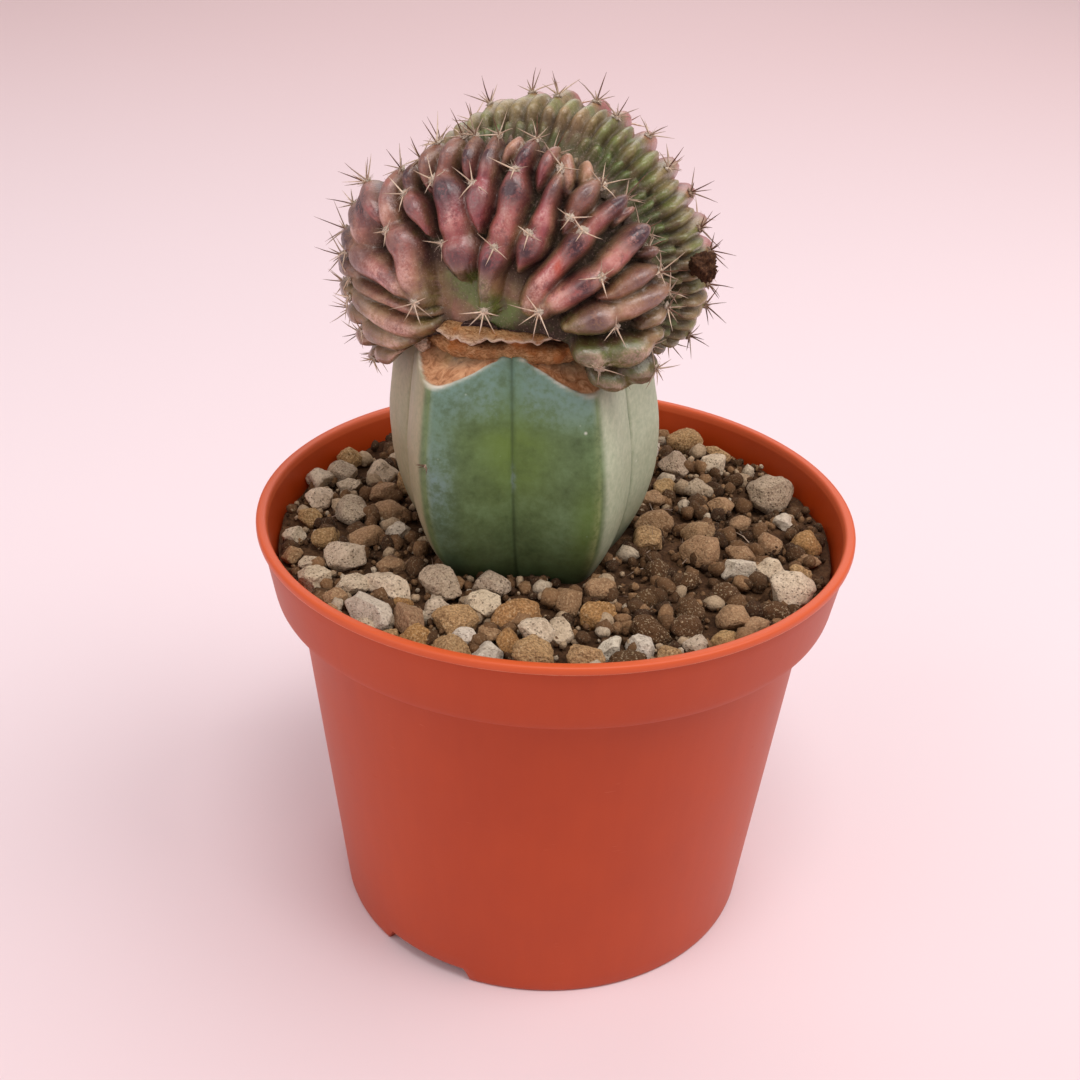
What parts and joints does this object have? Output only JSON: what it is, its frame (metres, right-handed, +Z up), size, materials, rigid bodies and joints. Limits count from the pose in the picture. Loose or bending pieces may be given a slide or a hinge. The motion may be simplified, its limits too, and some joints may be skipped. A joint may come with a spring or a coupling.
{
  "type": "potted gymnocalycium",
  "caption": "Crested gymnocalycium grafted on a ribbed column rootstock, standing in gravel-topped soil in a round terracotta-coloured plastic nursery pot.",
  "frame": {"origin": "on the surface that the pot stands on, below the middle of the pot", "axes": "+Z up along the pot's axis, -Y towards the side that the picture shows"},
  "size_m": [0.085, 0.085, 0.1243],
  "materials": {
    "pot_plastic": "moulded terracotta plastic with a slight sheen",
    "gravel_soil": "matte pumice and clay gravel in dark potting mix",
    "stock_skin": "waxy blue-green plant skin with a pale bloom",
    "callus_cork": "dry cracked cork",
    "crest_skin": "matte rose and purple plant skin, green in the creases"
  },
  "bodies": {
    "root": {"pot": "pot_plastic", "soil": "gravel_soil", "stock": "stock_skin", "graft_callus": "callus_cork", "crest": "crest_skin"}
  },
  "joints": []
}
